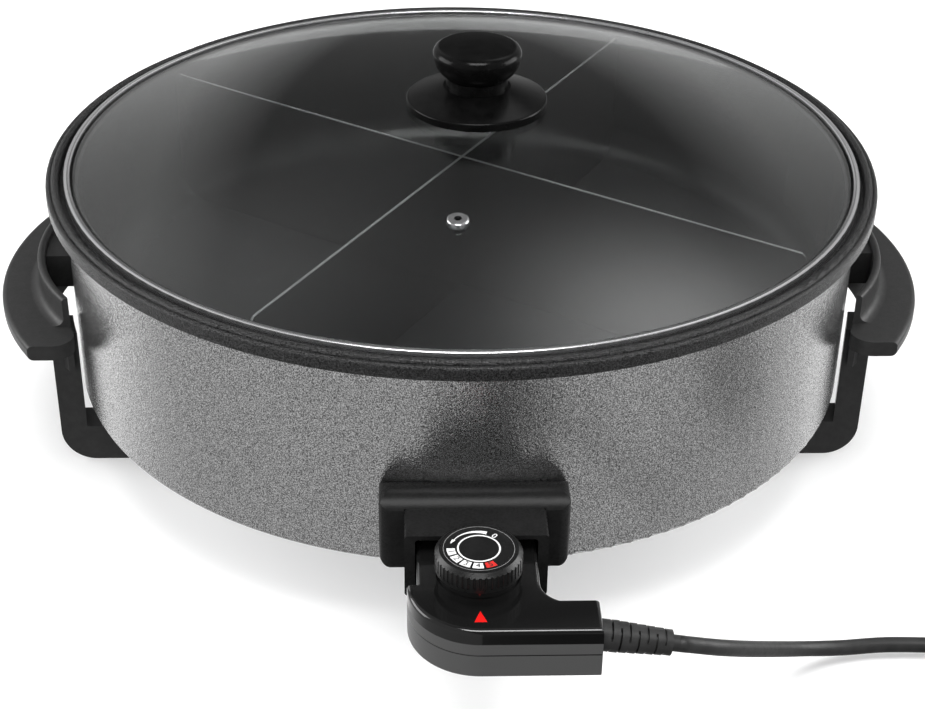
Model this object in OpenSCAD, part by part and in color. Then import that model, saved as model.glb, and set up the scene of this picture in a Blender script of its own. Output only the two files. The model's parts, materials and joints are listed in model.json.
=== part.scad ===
// Round electric grill pan with a lift-off glass lid, a cross divider and a plug-in heat controller.
// Lengths are in millimetres. The pan's axis is Z, the table is z = 0 and the controller is in front, at -Y.

/* [Pan] */
// outside radius of the grey shell
shell_radius = 201; // [190:1:215]
// height of the rim's bead above the table
rim_height = 148; // [142:1:160]
// gap between the table and the shell's lower edge
ground_clearance = 37; // [34:1:40]
// depth from the rim's bead down to the cooking floor
pan_depth = 79; // [76:1:82]
// inside radius of the corner between floor and wall
corner_radius = 16; // [12:1:18]

/* [Lid] */
// rise of the glass above the rim's bead at the middle
dome_rise = 27; // [20:1:35]
// thickness of the glass
glass_thickness = 4; // [3:0.5:5]
// distance of the steam vent from the lid's middle
vent_distance = 113; // [80:1:130]
// distance of the knob to the right of the lid's middle
knob_side = 7; // [0:1:10]
// radius of the knob's cap
knob_radius = 22.3; // [20:0.1:26]
// height of the knob above its disc
knob_height = 22.5; // [21:0.5:28]

/* [Divider] */
// turn of the first plate from the X axis
divider_turn = -34.5; // [-90:0.5:90]
// angle between the two plates, which cross a little off square in their loose slots
divider_cross = 94; // [86:1:94]
// thickness of the two plates
plate_thickness = 1.2; // [1:0.1:2]
// how far the plates stay below the rim's bead
plate_drop = 5; // [4:1:12]

/* [Handles] */
// distance from the shell to a handle's outer edge
handle_depth = 38; // [34:1:44]
// height of the handle's top face above the table
handle_height = 82; // [78:1:88]
// half the length of a handle
handle_half_length = 83; // [78:1:88]
// thickness of a handle's plate
handle_thickness = 8; // [7:0.5:10]
// rise of the heat shield's lip above the handle's top face
shield_rise = 16; // [10:1:20]
// width of a leg along Y
leg_width = 18; // [14:1:22]

/* [Controller] */
// length of the controller's case in front of its neck
controller_length = 51; // [48:1:60]
// height of the controller's top face above the contact pins
controller_rise = 12.5; // [11:0.5:15]
// depth of the controller's underside below the contact pins
controller_drop = 11.5; // [10:0.5:14]
// radius of the dial's grip
dial_radius = 18.2; // [16:0.1:20]

/* [Cord] */
// diameter of the mains cord
cord_diameter = 7; // [6:0.5:7]

/* [Hidden] */
$fn = 96;

// gaps and small overlaps
gap = 0.3;
running_gap = 0.05;
loose_gap = 0.6;
cut = 1;

// pan, shell and rim
shell_thickness = 1;
shell_inner = shell_radius - shell_thickness;
shell_lip = 9;
shell_bend = 3;
pan_inner = shell_radius - 8;
pan_wall = 2.5;
pan_outer = pan_inner + pan_wall;
floor_thickness = 4;
floor_top = rim_height - pan_depth;
floor_under = floor_top - floor_thickness;
ledge_top = rim_height - 6;
ledge_under = ledge_top - 3;
bead_radius = 2;
bead_middle = shell_radius + 4;
band_radius = 1.5;
band_outer = shell_radius + 8.5;
band_under = rim_height - 8;
band_top = rim_height - 1.6;
base_plate_low = ground_clearance + shell_thickness;
base_thickness = 1;
post_low = base_plate_low + base_thickness;

// screws that hold the base plate to the posts under the pan
post_radius = 6;
post_ring = 150;
post_turns = [45, 135, 225, 315];
screw_radius = 2;
head_radius = 4;
head_height = 2.5;
post_screw_length = 12;

// heating element and its pins
element_radius = 3.5;
element_ring = 120;
element_bend = 15;
pin_spread = 13;
pin_height = floor_under - element_radius;
bend_x = pin_spread + element_bend;
bend_y = sqrt(pow(element_ring + element_bend, 2) - bend_x * bend_x);
bend_turn = asin(bend_x / (element_ring + element_bend));
element_end = shell_radius - 12;
bend_ease = 0.15;
bend_overlap = 3;
pin_radius = 2.5;

// socket at the front of the shell
guard_half = 41.5;
guard_under = pin_height - 11;
guard_top = pin_height + 24.5;
guard_front = shell_radius + 18;
guard_round = 5;
guard_crown = 12;
guard_crown_y = guard_front - 10;
shroud_half = 30.5;
shroud_under = pin_height - 11.5;
shroud_top = pin_height + 20;
shroud_front = shell_radius + 37;
shroud_wall = 2;
shroud_side = 4.5;
shroud_corner = 1.5;
window_half = 24;
guard_screw_x = (guard_half + shroud_half) / 2;
guard_screw_end = shell_radius + 6;
block_half = 28;
block_thickness = 3.5;
block_under = pin_height - 8;
block_top = pin_height + 10;

// the controller's neck, its probe and its sleeves
neck_half = shroud_half - shroud_side - loose_gap;
neck_under = shroud_under + shroud_wall + loose_gap;
neck_tip = shell_radius + 28.5;
neck_back = shroud_front + 2;
pin_tip = neck_tip + 12;
probe_radius = 2.5;
probe_height = pin_height - 1.5;
probe_tip = shell_radius - 41;
probe_root = neck_back + 8;
probe_block_half = 6;
probe_block_height = 9.5;
probe_block_back = probe_tip - 8;
sleeve_radius = 4.2;
sleeve_root = pin_tip + 3;

// the controller's case
controller_front = neck_back + controller_length;
controller_top_height = pin_height + controller_rise;
controller_underside = pin_height - controller_drop;
case_left = 29.5;
case_right = 49;
case_round = 30;
case_round_x = case_round - case_left;
case_round_y = controller_front - case_round;
arm_back = controller_front - 19;
arm_fillet = 13;
case_edge = 2;
case_foot_edge = 1.5;
case_wall = 2.2;
neck_corner = 3;
neck_overlap = 4;
case_screw_end = controller_top_height - 4;
case_head_sink = 0.5;
case_split = pin_height;
dial_y = neck_back + 17;
collar_radius = dial_radius - 0.5;
collar_steps = 2;
collar_step_height = 3.1;
collar_step_width = 1;
collar_top = controller_top_height + collar_steps * collar_step_height;
spindle_radius = 3;
dial_under = collar_top + gap;
dial_height = 9;
dial_grooves = 48;
groove_radius = 0.6;
face_border = 0.8;
dial_slope = 1.8;
face_radius = dial_radius - dial_slope - face_border;
dial_roof = 3;
groove_start = 1.5;
face_depth = 0.8;
thermostat_size = [24, 24, 8];
thermostat_shift = 4;
case_screws = [[-17, -(controller_front - 24)], [40, -(controller_front - 9.5)], [20, -(neck_back + 6)]];
case_screw_radius = 1.25;
case_head_radius = 2.6;
case_boss_radius = 3.6;
lens_y = controller_front - 9.5;
lens_height = 7;
lens_half = 2.6;
lens_depth = 3;

// strain relief on the controller's right end
relief_y = controller_front - 9.5;
relief_z = pin_height + 2.5;
relief_length = 29;
relief_droop = 9;
relief_root_depth = 3;
relief_root_radius = 6.6;
relief_tip_radius = 5.2;
relief_ribs = 7;
relief_core_radius = cord_diameter / 2 + 0.8;
relief_collar = 3;
relief_slit = 0.25;
relief_bar = 4;

// lid
ring_outer = shell_radius - 0.5;
ring_wall = 0.8;
ring_under = ledge_top + gap;
ring_top = rim_height + 0.3;
ring_top_flange = 3;
ring_under_flange = 4;
glass_edge = ring_outer - ring_wall;
glass_flat = 3.7;
glass_under = ring_under + ring_wall;
glass_top = ring_top - ring_wall;
dome_edge = glass_edge - glass_flat;
dome_top = rim_height + dome_rise;
dome_height = dome_top - glass_top;
dome_radius = (dome_edge * dome_edge + dome_height * dome_height) / (2 * dome_height);
dome_middle = dome_top - dome_radius;
lid_hole_radius = 4;
vent_turn = asin(vent_distance / dome_radius);
vent_side = -2.75;
vent_bore = 1.8;
vent_sleeve = 3.6;
vent_flange = 5.2;
vent_flange_height = 0.9;
vent_clearance = 0.1;
disc_radius = 35.5;
disc_flat = 17;
disc_edge = 1;
disc_sink = 2;
disc_edge_top = dome_top + 3.3;
disc_top = disc_edge_top + 5.8;
knob_foot = disc_flat - 1;
knob_foot_height = 1;
knob_waist = knob_foot - 0.4;
knob_waist_height = 5;
knob_flank = 12.9;
knob_edge = 4.2;
knob_edge_middle = knob_radius - knob_edge;
knob_crown = 114;
knob_crown_turn = asin(knob_edge_middle / (knob_crown - knob_edge));
knob_crown_radius = knob_crown * sin(knob_crown_turn);
knob_widest = knob_height - knob_crown + (knob_crown - knob_edge) * cos(knob_crown_turn);
knob_socket = 2;
knob_socket_depth = 14;
seal_radius = 9;
seal_height = 1.5;
seal_top = dome_middle + sqrt(pow(dome_radius - glass_thickness, 2) - pow(seal_radius + knob_side, 2));
washer_height = 1.2;
knob_head_radius = 4.5;
knob_head_height = 3;

// divider
divider_top = rim_height - plate_drop;
divider_low = floor_top + gap;
divider_half = pan_inner - 2.5;
divider_height = divider_top - divider_low;
divider_round = 4;
divider_foot_round = corner_radius + 1.5;
slot_play = 0.15;
slot_width = plate_thickness * (1 + abs(cos(divider_cross))) / sin(divider_cross) + 2 * slot_play;

// handles, their heat shields and legs
handle_reach = shell_radius + handle_depth;
handle_arc = 153;
handle_arc_x = handle_reach - handle_arc;
handle_width = handle_depth + 8;
handle_edge = 2.5;
handle_corner = 10;
handle_under = handle_height - handle_thickness;
handle_gap = 5;
shield_wall = 4;
shield_inner = 104;
shield_outer = shield_inner + shield_wall;
shield_x = handle_reach - 19 - shield_outer;
shield_half = handle_half_length - 19;
shield_low = handle_under - 18;
shield_top = handle_height + shield_rise;
shield_fillet = 5;
boss_half = 12;
boss_low = handle_height - 6;
boss_high = handle_height + 12;
leg_gap = 2;
leg_outer = shell_radius + 6.5;
leg_front = 60;
leg_top = handle_under + 2;
leg_foot_inner = 160;
leg_foot_height = 20;
leg_corner = 17;
handle_screw_turn = asin(boss_half / 2 / shell_radius);
handle_screw_z = (boss_low + boss_high) / 2;
handle_screw_length = 9;

// the cord's route from the strain relief to the coil, and the coil's place on the table
cord_radius = cord_diameter / 2;
tie_thickness = 1.2;
tie_width = 8;
tie_gap = 0.4;
coil_middle = [300, -190];
coil_pitch = cord_diameter + 0.6;
coil_mean = 5.5 * cord_diameter;
coil_turns = 2;
coil_steps = 24;
coil_low = tie_thickness + tie_gap + cord_radius;
coil_high = coil_low + cord_diameter + 0.5;
coil_inner = coil_mean - coil_pitch * coil_turns / 2;
coil_outer = coil_mean + coil_pitch * coil_turns / 2;
coil_last_turns = coil_turns + 0.5;
relief_way = [cos(relief_droop), 0, -sin(relief_droop)];
lead_start = [case_right, -relief_y, relief_z] + (relief_length + gap) * relief_way;
lead_end = [coil_middle[0] - cord_diameter, coil_middle[1] - coil_outer, coil_low];
lead_route = [
    lead_start,
    lead_start + cord_radius * relief_way,
    lead_start + cord_diameter * relief_way,
    [99, -275, 51],
    [114, -262, 39],
    [130, -246, 25],
    [147, -232, 13],
    [166, -224, 6.5],
    [190, -221, 5.5],
    [222, -223, 5.3],
    [256, -230, 5.3],
    lead_end - [cord_diameter, 0, 0],
    lead_end
];
lead_steps = 3;
lead_sides = 10;
coil_sides = 6;

// mains plug at the cord's far end
plug_radius = 18;
plug_length = 30;
plug_sleeve_length = 22;
plug_sleeve_root = 8;
plug_sleeve_tip = cord_radius + 1.2;
plug_axis = plug_radius + 0.2;
plug_pin_radius = 2.4;
plug_pin_length = 19;
plug_pin_spread = 9.5;
plug_notch = [16, 6, 3];
tail_length = 40;
tail_start = [coil_middle[0], coil_middle[1] - (coil_inner + coil_pitch * coil_last_turns), coil_high];
plug_start = tail_start + [tail_length + cord_diameter, 0, plug_axis - coil_high];

// a rectangle with rounded corners, from its lower left corner
module rounded_rectangle(width, height, radius) {
    translate([radius, 0])
        square([width - 2 * radius, height]);
    translate([0, radius])
        square([width, height - 2 * radius]);
    for (x = [radius, width - radius], y = [radius, height - radius])
        translate([x, y])
            circle(radius);
}

// a cylinder lying along Y from one y to another
module rod_y(x, z, from_y, to_y, radius) {
    translate([x, from_y, z])
        rotate([-90, 0, 0])
            cylinder(h = to_y - from_y, r = radius);
}

// a box given by its low and high corners
module box(low, high) {
    translate(low)
        cube(high - low);
}

// a ring or disc of plain section about the pan's axis
module band(inner, outer, low, high) {
    difference() {
        translate([0, 0, low])
            cylinder(h = high - low, r = outer);
        if (inner > 0)
            translate([0, 0, low - cut])
                cylinder(h = high - low + 2 * cut, r = inner);
    }
}

// Pan, shell and base

// the pan's section: floor, rounded corner, wall, ledge for the lid, bead and outer band
module pan_section() {
    difference() {
        union() {
            translate([0, floor_under])
                square([pan_outer - corner_radius, floor_thickness + corner_radius]);
            translate([pan_outer - corner_radius, floor_under + corner_radius])
                circle(corner_radius);
            translate([0, floor_under + corner_radius])
                square([pan_outer, ledge_top - floor_under - corner_radius]);
        }
        translate([-cut, floor_top])
            square([pan_inner - corner_radius + cut, pan_depth]);
        translate([pan_inner - corner_radius, floor_top + corner_radius])
            circle(corner_radius);
        translate([-cut, floor_top + corner_radius])
            square([pan_inner + cut, pan_depth]);
    }
    translate([pan_inner, ledge_under])
        square([bead_middle - pan_inner, ledge_top - ledge_under]);
    translate([bead_middle - bead_radius, ledge_under])
        square([2 * bead_radius, rim_height - bead_radius - ledge_under]);
    translate([bead_middle, rim_height - bead_radius])
        circle(bead_radius);
    translate([bead_middle, band_under])
        square([band_outer - bead_middle - band_radius, band_top - band_under - band_radius / 2]);
    translate([bead_middle, band_under])
        square([band_outer - bead_middle, band_top - band_under - band_radius]);
    translate([band_outer - band_radius, band_top - band_radius])
        circle(band_radius);
}

module cooking_pan() {
    color([0.09, 0.09, 0.1]) {
        rotate_extrude()
            pan_section();
        for (turn = post_turns)
            rotate([0, 0, turn])
                translate([post_ring, 0, 0])
                    difference() {
                        translate([0, 0, post_low])
                            cylinder(h = floor_under - post_low + cut, r = post_radius);
                        translate([0, 0, base_plate_low])
                            cylinder(h = post_screw_length, r = screw_radius);
                    }
    }
}

module outer_shell() {
    color([0.5, 0.5, 0.5])
        difference() {
            rotate_extrude()
                difference() {
                    union() {
                        translate([shell_radius - shell_lip, ground_clearance])
                            square([shell_lip - shell_bend, shell_bend]);
                        translate([shell_radius - shell_bend, ground_clearance + shell_bend])
                            circle(shell_bend);
                        translate([shell_radius - shell_bend, ground_clearance + shell_bend])
                            square([shell_bend, ledge_under - ground_clearance - shell_bend]);
                    }
                    translate([0, base_plate_low])
                        square([shell_radius - shell_bend, rim_height]);
                    translate([shell_radius - shell_bend, ground_clearance + shell_bend])
                        circle(shell_bend - shell_thickness);
                    translate([0, ground_clearance + shell_bend])
                        square([shell_inner, rim_height]);
                }
            box([-window_half, -shell_radius - cut, shroud_under + shroud_wall],
                [window_half, -shell_radius / 2, shroud_top - shroud_wall]);
            guard_screw_rods(screw_radius, shell_inner / 2, guard_front);
            handle_screw_rods(screw_radius, shell_inner - 10, shell_radius + 10);
        }
}

module base_plate() {
    color([0.45, 0.45, 0.46])
        difference() {
            band(0, shell_radius - shell_bend, base_plate_low, base_plate_low + base_thickness);
            base_screw_rods(screw_radius, 0, rim_height);
        }
}

// the four screw axes under the pan, drawn as rods between two heights
module base_screw_rods(radius, low, high) {
    for (turn = post_turns)
        rotate([0, 0, turn])
            translate([post_ring, 0, low])
                cylinder(h = high - low, r = radius);
}

module base_screws() {
    color([0.7, 0.7, 0.72]) {
        base_screw_rods(head_radius, base_plate_low - head_height, base_plate_low);
        base_screw_rods(screw_radius, base_plate_low - cut, base_plate_low + post_screw_length - cut);
    }
}

// Heating element and terminals

// one end of the element: a bend drawn a little thinner, so that it joins the ring, and a straight run
module element_leg() {
    translate([bend_x, -bend_y, pin_height])
        rotate([0, 0, 90 + bend_turn - bend_overlap])
            rotate_extrude(angle = 90 - bend_turn + 2 * bend_overlap)
                translate([element_bend, 0])
                    circle(element_radius - bend_ease);
    rod_y(pin_spread, pin_height, -element_end, -bend_y, element_radius);
}

module heating_element() {
    color([0.42, 0.4, 0.4]) {
        translate([0, 0, pin_height])
            rotate([0, 0, -90 + bend_turn])
                rotate_extrude(angle = 360 - 2 * bend_turn)
                    translate([element_ring, 0])
                        circle(element_radius);
        element_leg();
        mirror([1, 0, 0])
            element_leg();
    }
}

module contact_pins() {
    color([0.8, 0.66, 0.35])
        for (x = [-pin_spread, pin_spread])
            rod_y(x, pin_height, -pin_tip, -element_end, pin_radius);
}

module terminal_block() {
    color([0.85, 0.83, 0.78])
        difference() {
            intersection() {
                band(shell_inner - block_thickness, shell_inner, block_under, block_top);
                box([-block_half, -shell_radius, 0], [block_half, 0, rim_height]);
            }
            for (x = [-pin_spread, pin_spread])
                rod_y(x, pin_height, -shell_radius, -shell_radius / 2, pin_radius);
            rod_y(0, probe_height, -shell_radius, -shell_radius / 2, probe_radius + loose_gap);
        }
}

module probe_sleeve() {
    color([0.72, 0.72, 0.74])
        difference() {
            box([-probe_block_half, -(pan_outer - corner_radius), floor_under - probe_block_height],
                [probe_block_half, -probe_block_back, floor_under]);
            rod_y(0, probe_height, -shell_radius, -probe_tip + loose_gap, probe_radius + gap);
        }
}

// Socket at the front

// the two guard screw axes, drawn as rods between two distances from the pan's axis
module guard_screw_rods(radius, from_y, to_y) {
    for (x = [-guard_screw_x, guard_screw_x])
        rod_y(x, pin_height, -to_y, -from_y, radius);
}

// the guard before it is hollowed: crowned on top, and its corners rounded seen from the front and from above
module guard_block() {
    height = guard_top - guard_under;
    intersection() {
        translate([-guard_half, 0, 0])
            rotate([90, 0, 90])
                linear_extrude(2 * guard_half) {
                    translate([-guard_crown_y, guard_top - guard_crown])
                        circle(guard_crown);
                    translate([-guard_front, guard_under])
                        square([guard_front, height - guard_crown]);
                }
        translate([-guard_half, 0, guard_under])
            rotate([90, 0, 0])
                linear_extrude(guard_front)
                    rounded_rectangle(2 * guard_half, height, guard_round);
        translate([-guard_half, -guard_front, guard_under])
            linear_extrude(height)
                rounded_rectangle(2 * guard_half, guard_front, guard_round);
    }
}

module socket_guard() {
    color([0.05, 0.05, 0.05])
        difference() {
            guard_block();
            cylinder(h = rim_height, r = shell_radius);
            box([-shroud_half, -guard_front - cut, 0], [shroud_half, 0, shroud_top]);
            guard_screw_rods(screw_radius, shell_inner / 2, guard_screw_end);
        }
}

module socket_shroud() {
    color([0.06, 0.06, 0.06])
        difference() {
            translate([0, -shell_radius / 2, 0])
                rotate([90, 0, 0])
                    linear_extrude(shroud_front - shell_radius / 2)
                        difference() {
                            translate([-shroud_half, shroud_under])
                                rounded_rectangle(2 * shroud_half, shroud_top - shroud_under, shroud_corner);
                            translate([-shroud_half + shroud_side, shroud_under + shroud_wall])
                                rounded_rectangle(2 * (shroud_half - shroud_side),
                                                  shroud_top - shroud_under - 2 * shroud_wall, shroud_corner);
                        }
            cylinder(h = rim_height, r = shell_radius);
        }
}

module guard_screws() {
    seat = sqrt(shell_inner * shell_inner - pow(guard_screw_x + head_radius, 2));
    color([0.7, 0.7, 0.72]) {
        guard_screw_rods(head_radius, seat - head_height, seat);
        guard_screw_rods(screw_radius, seat - head_height, guard_screw_end);
    }
}

// Handles and legs

// one leg, its foot turned in under the shell; its front face is at -leg_front
module leg() {
    difference() {
        translate([0, -leg_front + leg_width, 0])
            rotate([90, 0, 0])
                linear_extrude(leg_width) {
                    translate([-leg_outer, leg_corner])
                        square([leg_outer - leg_foot_inner, leg_top - leg_corner]);
                    translate([-leg_outer + leg_corner, 0])
                        square([leg_outer - leg_corner - leg_foot_inner, leg_foot_height]);
                    intersection() {
                        translate([-leg_outer + leg_corner, leg_corner])
                            circle(leg_corner);
                        translate([-leg_outer, 0])
                            square([leg_outer, leg_corner]);
                    }
                }
        translate([0, 0, leg_foot_height])
            cylinder(h = rim_height, r = shell_radius + leg_gap);
    }
}

// the handle's plate, rounded along its outer edge and at its corners
module handle_plate() {
    intersection() {
        translate([-handle_arc_x, 0, 0])
            rotate_extrude() {
                translate([0, handle_under])
                    square([handle_arc - handle_edge, handle_thickness]);
                translate([0, handle_under + handle_edge])
                    square([handle_arc, handle_thickness - 2 * handle_edge]);
                for (z = [handle_under + handle_edge, handle_height - handle_edge])
                    translate([handle_arc - handle_edge, z])
                        circle(handle_edge);
            }
        translate([-handle_reach, -handle_half_length, 0])
            linear_extrude(rim_height)
                rounded_rectangle(handle_width, 2 * handle_half_length, handle_corner);
    }
}

// the heat shield's section: a wall with a round lip and a fillet down to the plate
module shield_section() {
    lip = shield_wall / 2;
    translate([shield_inner, shield_low])
        square([shield_wall, shield_top - lip - shield_low]);
    translate([shield_inner + lip, shield_top - lip])
        circle(lip);
    difference() {
        translate([shield_outer - cut, handle_height - cut])
            square(shield_fillet + cut);
        translate([shield_outer + shield_fillet, handle_height + shield_fillet])
            circle(shield_fillet);
    }
}

// the curved wall that keeps fingers off the hot shell
module heat_shield() {
    intersection() {
        translate([-shield_x, 0, 0])
            rotate_extrude()
                shield_section();
        box([-handle_reach, -shield_half, 0], [-shield_x, shield_half, rim_height]);
    }
}

// the block between the shell and the shield that the handle's screws go into
module handle_boss() {
    difference() {
        box([-shield_x - shield_inner - shield_wall / 2, -boss_half, boss_low],
            [-shell_radius / 2, boss_half, boss_high]);
        cylinder(h = rim_height, r = shell_radius);
        handle_screw_rods(screw_radius, shell_inner, shell_radius + handle_screw_length);
    }
}

module handle() {
    difference() {
        union() {
            difference() {
                handle_plate();
                translate([-shield_x, 0, 0])
                    cylinder(h = rim_height, r = shield_inner);
            }
            heat_shield();
        }
        cylinder(h = rim_height, r = shell_radius + handle_gap);
    }
    handle_boss();
    leg();
    mirror([0, 1, 0])
        leg();
}

module handle_left() {
    color([0.07, 0.07, 0.07])
        handle();
}

module handle_right() {
    color([0.07, 0.07, 0.07])
        mirror([1, 0, 0])
            handle();
}

// the four handle screw axes, drawn as rods between two distances from the pan's axis
module handle_screw_rods(radius, from_r, to_r) {
    for (side = [0, 180], turn = [-handle_screw_turn, handle_screw_turn])
        rotate([0, 0, side + turn])
            translate([from_r, 0, handle_screw_z])
                rotate([0, 90, 0])
                    cylinder(h = to_r - from_r, r = radius);
}

module handle_screws() {
    seat = sqrt(shell_inner * shell_inner - head_radius * head_radius);
    color([0.7, 0.7, 0.72]) {
        handle_screw_rods(head_radius, seat - head_height, seat);
        handle_screw_rods(screw_radius, seat - head_height, shell_radius + handle_screw_length);
    }
}

// Lid

module lid_glass() {
    color([0.75, 0.8, 0.82, 0.4])
        difference() {
            rotate_extrude() {
                intersection() {
                    translate([0, dome_middle])
                        difference() {
                            circle(dome_radius, $fn = 360);
                            circle(dome_radius - glass_thickness, $fn = 360);
                        }
                    translate([0, glass_under])
                        square([dome_edge, dome_top]);
                }
                translate([dome_edge - 1, glass_under])
                    square([glass_edge - dome_edge + 1, glass_top - glass_under]);
            }
            vent_place()
                translate([0, 0, -2 * glass_thickness])
                    cylinder(h = 3 * glass_thickness, r = vent_sleeve);
            translate([knob_side, 0, 0])
                cylinder(h = 2 * dome_top, r = lid_hole_radius);
        }
}

module lid_ring() {
    color([0.75, 0.75, 0.76]) {
        band(glass_edge, ring_outer, ring_under, ring_top);
        band(ring_outer - ring_top_flange, ring_outer, glass_top, ring_top);
        band(ring_outer - ring_under_flange, ring_outer, ring_under, glass_under);
    }
}

// moves a piece drawn on the Z axis to the vent, its z = 0 on the glass's outer face
module vent_place() {
    translate([0, 0, dome_middle])
        rotate([vent_turn, 0, vent_side])
            translate([0, 0, dome_radius])
                children();
}

module vent_eyelet() {
    color([0.75, 0.75, 0.76])
        vent_place()
            difference() {
                union() {
                    translate([0, 0, -glass_thickness - vent_flange_height])
                        cylinder(h = glass_thickness + 2 * vent_flange_height, r = vent_sleeve);
                    rotate_extrude() {
                        square([vent_flange - vent_flange_height, vent_flange_height]);
                        intersection() {
                            translate([vent_flange - vent_flange_height, 0])
                                circle(vent_flange_height);
                            square([vent_flange, vent_flange_height]);
                        }
                    }
                    translate([0, 0, -glass_thickness - vent_clearance - vent_flange_height])
                        cylinder(h = vent_flange_height, r = vent_flange);
                }
                translate([0, 0, -2 * glass_thickness])
                    cylinder(h = 3 * glass_thickness, r = vent_bore);
            }
}

module knob_disc() {
    color([0.05, 0.05, 0.05])
        difference() {
            translate([knob_side, 0, 0])
                rotate_extrude() {
                    polygon([[lid_hole_radius, dome_top - disc_sink], [disc_radius, dome_top - disc_sink],
                             [disc_radius, disc_edge_top - disc_edge], [disc_radius - disc_edge, disc_edge_top],
                             [disc_flat, disc_top], [lid_hole_radius, disc_top]]);
                    translate([disc_radius - disc_edge, disc_edge_top - disc_edge])
                        circle(disc_edge);
                }
            translate([0, 0, dome_middle])
                rotate_extrude()
                    intersection() {
                        circle(dome_radius, $fn = 360);
                        translate([0, -2 * dome_radius])
                            square([dome_radius, 4 * dome_radius]);
                    }
        }
}

// the knob's section: foot, waist, a bulging flank, a rounded edge and a shallow crown
module knob_section() {
    square([knob_foot, knob_foot_height]);
    square([knob_waist, knob_waist_height]);
    square([knob_radius - knob_flank, knob_widest]);
    intersection() {
        translate([knob_radius - knob_flank, knob_widest])
            circle(knob_flank);
        square([knob_radius, knob_widest]);
    }
    translate([knob_edge_middle, knob_widest])
        circle(knob_edge);
    intersection() {
        translate([0, knob_height - knob_crown])
            circle(knob_crown, $fn = 360);
        translate([0, knob_widest])
            square([knob_crown_radius, knob_height]);
    }
}

module lid_knob() {
    color([0.06, 0.06, 0.06])
        translate([knob_side, 0, disc_top])
            difference() {
                rotate_extrude()
                    knob_section();
                translate([0, 0, -cut])
                    cylinder(h = knob_socket_depth + cut, r = knob_socket);
            }
}

module knob_seal() {
    color([0.12, 0.12, 0.12])
        translate([knob_side, 0, 0])
            band(knob_socket, seal_radius, seal_top - seal_height, seal_top);
}

module knob_washer() {
    high = seal_top - seal_height;
    color([0.72, 0.72, 0.74])
        translate([knob_side, 0, 0])
            band(knob_socket, seal_radius - 1, high - washer_height, high);
}

module knob_screw() {
    seat = seal_top - seal_height - washer_height;
    color([0.7, 0.7, 0.72])
        translate([knob_side, 0, 0]) {
            band(0, knob_socket, seat - cut, disc_top + knob_socket_depth);
            band(0, knob_head_radius, seat - knob_head_height, seat);
        }
}

// Divider

// one plate lying along X, its upper corners rounded and its lower corners clear of the pan's corner
module divider_plate() {
    translate([0, plate_thickness / 2, divider_low])
        rotate([90, 0, 0])
            linear_extrude(plate_thickness) {
                translate([-divider_half, divider_foot_round])
                    square([2 * divider_half, divider_height - divider_foot_round - divider_round]);
                translate([-divider_half + divider_foot_round, 0])
                    square([2 * (divider_half - divider_foot_round), divider_foot_round]);
                translate([-divider_half + divider_round, divider_height - divider_round - cut])
                    square([2 * (divider_half - divider_round), divider_round + cut]);
                for (side = [-1, 1]) {
                    translate([side * (divider_half - divider_foot_round), divider_foot_round])
                        circle(divider_foot_round);
                    translate([side * (divider_half - divider_round), divider_height - divider_round])
                        circle(divider_round);
                }
            }
}

// the half of the crossing that a plate leaves free for the other plate
module divider_slot(low, high) {
    translate([-slot_width / 2, -plate_thickness, low])
        cube([slot_width, 2 * plate_thickness, high - low]);
}

module divider_first() {
    color([0.55, 0.55, 0.55])
        rotate([0, 0, divider_turn])
            difference() {
                divider_plate();
                divider_slot(divider_low + divider_height / 2, rim_height);
            }
}

module divider_second() {
    color([0.55, 0.55, 0.55])
        rotate([0, 0, divider_turn + divider_cross])
            difference() {
                divider_plate();
                divider_slot(0, divider_low + divider_height / 2);
            }
}

// Controller

// the case's section along X or Y: rounded at the far end, square at zero
module case_section(reach, inset) {
    low = controller_underside + inset;
    high = controller_top_height - inset;
    edge = case_edge - inset / 2;
    foot = case_foot_edge - inset / 2;
    translate([0, low])
        square([reach - foot, high - low - edge]);
    translate([0, low + foot])
        square([reach, high - low - foot - edge]);
    translate([0, low + foot])
        square([reach - edge, high - low - foot]);
    translate([reach - foot, low + foot])
        circle(foot);
    translate([reach - edge, high - edge])
        circle(edge);
}

// the section across the back of the case, which the neck carries on
module back_section(inset) {
    case_section(neck_half - inset, inset);
    mirror([1, 0])
        case_section(neck_half - inset, inset);
}

// the hollow corner between the back of the case and its arm, its top edge rounded like the rest
module arm_corner() {
    low = controller_underside;
    high = controller_top_height;
    size = arm_fillet + case_edge;
    difference() {
        translate([neck_half - case_edge, -arm_back - case_edge, low])
            linear_extrude(high - low)
                difference() {
                    square(size);
                    translate([size, size])
                        circle(arm_fillet);
                }
        translate([neck_half + arm_fillet, -arm_back + arm_fillet, high - case_edge])
            rotate_extrude()
                difference() {
                    translate([arm_fillet - cut, 0])
                        square(case_edge + cut);
                    translate([arm_fillet + case_edge, 0])
                        circle(case_edge);
                }
    }
}

// the case's outside, or its hollow when drawn smaller by an inset
module case_solid(inset) {
    front = controller_front - inset;
    right = case_right - inset;
    back = neck_back + inset;
    arm = arm_back + inset;
    low = controller_underside + inset;
    high = controller_top_height - inset;
    translate([case_round_x, -case_round_y, 0])
        rotate([0, 0, 180])
            rotate_extrude(angle = 90)
                case_section(case_round - inset, inset);
    translate([0, -back, 0])
        rotate([90, 0, 0])
            linear_extrude(arm_back - back)
                back_section(inset);
    intersection() {
        translate([case_round_x, -case_round_y, 0])
            rotate([90, 0, 90])
                linear_extrude(right - case_round_x)
                    mirror([1, 0])
                        case_section(front - case_round_y, inset);
        union() {
            box([0, -front - cut, low], [neck_half - case_edge, -case_round_y + cut, high]);
            translate([0, -arm, 0])
                rotate([90, 0, 0])
                    linear_extrude(front - arm + cut)
                        case_section(right, inset);
        }
    }
    if (inset == 0)
        arm_corner();
}

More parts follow.
